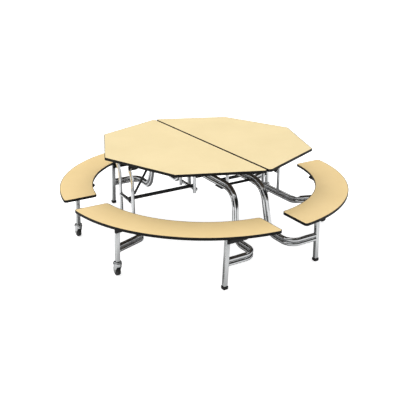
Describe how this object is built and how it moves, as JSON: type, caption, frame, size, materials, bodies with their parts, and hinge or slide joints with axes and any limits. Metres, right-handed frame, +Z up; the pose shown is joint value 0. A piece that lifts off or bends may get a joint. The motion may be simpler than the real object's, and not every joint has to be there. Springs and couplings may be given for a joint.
{
  "type": "folding table with benches",
  "caption": "Octagonal folding table on a chromed tube frame with curved benches round it, casters at the outer legs and glides at the inner legs.",
  "frame": {"origin": "on the floor under the middle of the open table", "axes": "+Z up, the fold line along Y, the two halves towards -X and +X"},
  "size_m": [2.2158, 2.2158, 0.7366],
  "materials": {
    "laminate": "satin",
    "edge_band": "satin",
    "black_steel": "satin",
    "glide": "matte",
    "tyre": "matte",
    "steel_rod": "polished",
    "chrome": "polished"
  },
  "bodies": {
    "outer_left": {"stretcher_left": "chrome", "outer_uprights_left": "chrome", "outer_crossbar_left": "chrome", "caster_front_left_leg": "chrome", "caster_back_left_leg": "chrome"},
    "outer_right": {"stretcher_right": "chrome", "outer_uprights_right": "chrome", "outer_crossbar_right": "chrome", "caster_front_right_leg": "chrome", "caster_back_right_leg": "chrome"},
    "centre_frame": {"arch_left": "chrome", "inner_uprights_left": "chrome", "inner_crossbar_left": "chrome", "arch_right": "chrome", "inner_uprights_right": "chrome", "inner_crossbar_right": "chrome", "cross_tubes": "black_steel", "cross_channels": "black_steel", "arch_pads": "black_steel", "glide_front_left_leg": "chrome", "glide_front_left_foot": "glide", "glide_back_left_leg": "chrome", "glide_back_left_foot": "glide", "glide_front_right_leg": "chrome", "glide_front_right_foot": "glide", "glide_back_right_leg": "chrome", "glide_back_right_foot": "glide"},
    "top_left": {"table_top_left": "laminate", "table_top_left_edge": "edge_band", "top_brackets_left": "black_steel"},
    "link_left": {"link_left": "black_steel"},
    "strut_rod_left": {"strut_rod_left": "steel_rod"},
    "strut_cylinder_left": {"strut_cylinder_left": "black_steel"},
    "bench_front_left": {"bench_front_left": "laminate", "bench_front_left_edge": "edge_band", "bench_brackets_front_left": "black_steel"},
    "fork_front_left": {"caster_front_left_fork": "chrome"},
    "wheel_front_left": {"caster_front_left_wheel": "tyre"},
    "bench_back_left": {"bench_back_left": "laminate", "bench_back_left_edge": "edge_band", "bench_brackets_back_left": "black_steel"},
    "fork_back_left": {"caster_back_left_fork": "chrome"},
    "wheel_back_left": {"caster_back_left_wheel": "tyre"},
    "top_right": {"table_top_right": "laminate", "table_top_right_edge": "edge_band", "top_brackets_right": "black_steel"},
    "link_right": {"link_right": "black_steel"},
    "strut_rod_right": {"strut_rod_right": "steel_rod"},
    "strut_cylinder_right": {"strut_cylinder_right": "black_steel"},
    "bench_front_right": {"bench_front_right": "laminate", "bench_front_right_edge": "edge_band", "bench_brackets_front_right": "black_steel"},
    "fork_front_right": {"caster_front_right_fork": "chrome"},
    "wheel_front_right": {"caster_front_right_wheel": "tyre"},
    "bench_back_right": {"bench_back_right": "laminate", "bench_back_right_edge": "edge_band", "bench_brackets_back_right": "black_steel"},
    "fork_back_right": {"caster_back_right_fork": "chrome"},
    "wheel_back_right": {"caster_back_right_wheel": "tyre"}
  },
  "joints": [
    {"name": "fold", "type": "hinge", "parent": "outer_left", "child": "top_left", "pos_m": [-0.68368, 0, 0.6596], "axis": [0, -1, 0], "range_deg": [0, 90]},
    {"name": "centre_level", "type": "hinge", "parent": "top_left", "child": "centre_frame", "pos_m": [-0.15068, 0, 0.6596], "axis": [0, 1, 0], "range_deg": [0, 90]},
    {"name": "right_half_fold", "type": "hinge", "parent": "centre_frame", "child": "top_right", "pos_m": [0.15068, 0, 0.6596], "axis": [0, 1, 0], "range_deg": [0, 90]},
    {"name": "right_level", "type": "hinge", "parent": "top_right", "child": "outer_right", "pos_m": [0.68368, 0, 0.6596], "axis": [0, -1, 0], "range_deg": [0, 90]},
    {"name": "bench_fold_front_left", "type": "hinge", "parent": "outer_left", "child": "bench_front_left", "pos_m": [-0.915, -0.374, 0.359], "axis": [0, -1, 0], "range_deg": [0, 90]},
    {"name": "bench_fold_back_left", "type": "hinge", "parent": "outer_left", "child": "bench_back_left", "pos_m": [-0.915, 0.374, 0.359], "axis": [0, -1, 0], "range_deg": [0, 90]},
    {"name": "link_turn_left", "type": "hinge", "parent": "outer_left", "child": "link_left", "pos_m": [-0.66868, -0.073, 0.4], "axis": [0, -1, 0], "range_deg": [0, 90]},
    {"name": "strut_foot_turn_left", "type": "hinge", "parent": "outer_left", "child": "strut_rod_left", "pos_m": [-0.63867, -0.04, 0.417], "axis": [0, -1, 0], "range_deg": [0, 42.9]},
    {"name": "strut_head_turn_left", "type": "hinge", "parent": "top_left", "child": "strut_cylinder_left", "pos_m": [-0.45767, -0.04, 0.7016], "axis": [0, 1, 0], "range_deg": [0, 47.2]},
    {"name": "bench_fold_front_right", "type": "hinge", "parent": "outer_right", "child": "bench_front_right", "pos_m": [0.915, -0.374, 0.359], "axis": [0, 1, 0], "range_deg": [0, 90]},
    {"name": "bench_fold_back_right", "type": "hinge", "parent": "outer_right", "child": "bench_back_right", "pos_m": [0.915, 0.374, 0.359], "axis": [0, 1, 0], "range_deg": [0, 90]},
    {"name": "link_turn_right", "type": "hinge", "parent": "outer_right", "child": "link_right", "pos_m": [0.66868, -0.073, 0.4], "axis": [0, 1, 0], "range_deg": [0, 90]},
    {"name": "strut_foot_turn_right", "type": "hinge", "parent": "outer_right", "child": "strut_rod_right", "pos_m": [0.63867, -0.04, 0.417], "axis": [0, 1, 0], "range_deg": [0, 42.9]},
    {"name": "strut_head_turn_right", "type": "hinge", "parent": "top_right", "child": "strut_cylinder_right", "pos_m": [0.45767, -0.04, 0.7016], "axis": [0, -1, 0], "range_deg": [0, 47.2]},
    {"name": "caster_swivel_front_left", "type": "hinge", "parent": "outer_left", "child": "fork_front_left", "pos_m": [-0.92535, -0.374, 0.095], "axis": [0, 0, 1], "continuous": true},
    {"name": "wheel_turn_front_left", "type": "hinge", "parent": "fork_front_left", "child": "wheel_front_left", "pos_m": [-0.92535, -0.358, 0.0375], "axis": [1, 0, 0], "continuous": true},
    {"name": "caster_swivel_back_left", "type": "hinge", "parent": "outer_left", "child": "fork_back_left", "pos_m": [-0.92535, 0.374, 0.095], "axis": [0, 0, 1], "continuous": true},
    {"name": "wheel_turn_back_left", "type": "hinge", "parent": "fork_back_left", "child": "wheel_back_left", "pos_m": [-0.92535, 0.39, 0.0375], "axis": [1, 0, 0], "continuous": true},
    {"name": "caster_swivel_front_right", "type": "hinge", "parent": "outer_right", "child": "fork_front_right", "pos_m": [0.92535, -0.374, 0.095], "axis": [0, 0, 1], "continuous": true},
    {"name": "wheel_turn_front_right", "type": "hinge", "parent": "fork_front_right", "child": "wheel_front_right", "pos_m": [0.92535, -0.39, 0.0375], "axis": [1, 0, 0], "continuous": true},
    {"name": "caster_swivel_back_right", "type": "hinge", "parent": "outer_right", "child": "fork_back_right", "pos_m": [0.92535, 0.374, 0.095], "axis": [0, 0, 1], "continuous": true},
    {"name": "wheel_turn_back_right", "type": "hinge", "parent": "fork_back_right", "child": "wheel_back_right", "pos_m": [0.92535, 0.39, 0.0375], "axis": [1, 0, 0], "continuous": true}
  ],
  "couplings": [
    {"joint": "centre_level", "follows": "fold", "ratio": 1},
    {"joint": "right_half_fold", "follows": "fold", "ratio": 1},
    {"joint": "right_level", "follows": "fold", "ratio": 1},
    {"joint": "bench_fold_front_left", "follows": "fold", "ratio": 1},
    {"joint": "bench_fold_back_left", "follows": "fold", "ratio": 1},
    {"joint": "link_turn_left", "follows": "fold", "ratio": 1},
    {"joint": "strut_foot_turn_left", "follows": "fold", "ratio": 0.4762},
    {"joint": "strut_head_turn_left", "follows": "fold", "ratio": 0.5238},
    {"joint": "bench_fold_front_right", "follows": "fold", "ratio": 1},
    {"joint": "bench_fold_back_right", "follows": "fold", "ratio": 1},
    {"joint": "link_turn_right", "follows": "fold", "ratio": 1},
    {"joint": "strut_foot_turn_right", "follows": "fold", "ratio": 0.4762},
    {"joint": "strut_head_turn_right", "follows": "fold", "ratio": 0.5238}
  ]
}
